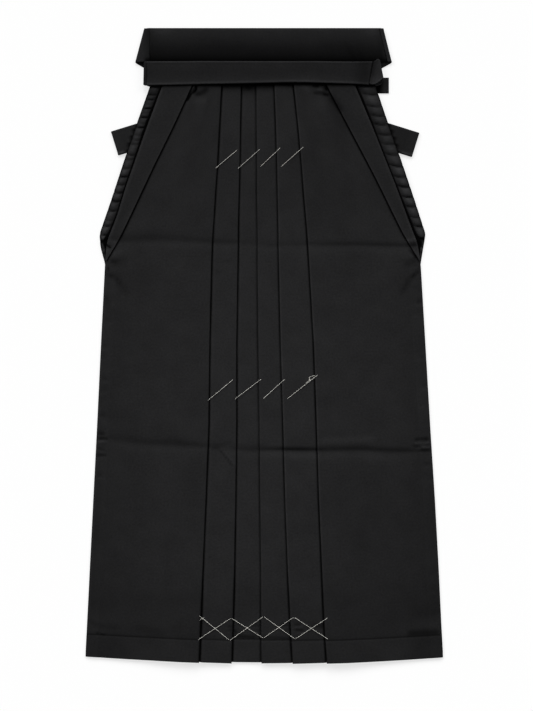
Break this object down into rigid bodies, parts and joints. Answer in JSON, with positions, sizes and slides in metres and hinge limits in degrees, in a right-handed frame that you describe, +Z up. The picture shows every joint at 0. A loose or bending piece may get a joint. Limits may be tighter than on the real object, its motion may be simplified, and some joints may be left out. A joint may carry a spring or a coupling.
{
  "type": "hakama trousers",
  "caption": "Pleated hakama trousers laid flat, front up: knife pleats overlapping at the middle, gathered side openings, and straps folded behind.",
  "frame": {"origin": "middle of the bounding box, on the surface the garment lies on", "axes": "+Y from the hem to the waist, +X to the wearer's left, +Z up out of the surface, so the front faces +Z"},
  "size_m": [0.5665, 1.0062, 0.0167],
  "materials": {
    "black_cloth": "soft black twill with a faint sheen",
    "black_band": "the same twill, stitched in layers",
    "basting_thread": "matte off-white cotton"
  },
  "bodies": {
    "root": {"front_cloth_right_leg": "black_cloth", "front_cloth_left_leg": "black_cloth", "back_cloth_right_leg": "black_cloth", "back_cloth_left_leg": "black_cloth", "side_strip_right": "black_cloth", "side_strip_left": "black_cloth", "front_waistband": "black_band", "front_strap_right": "black_band", "front_strap_left": "black_band", "back_waistband": "black_band", "back_strap_right": "black_band", "back_strap_left": "black_band", "back_strap_end_left": "black_band"}
  },
  "joints": []
}
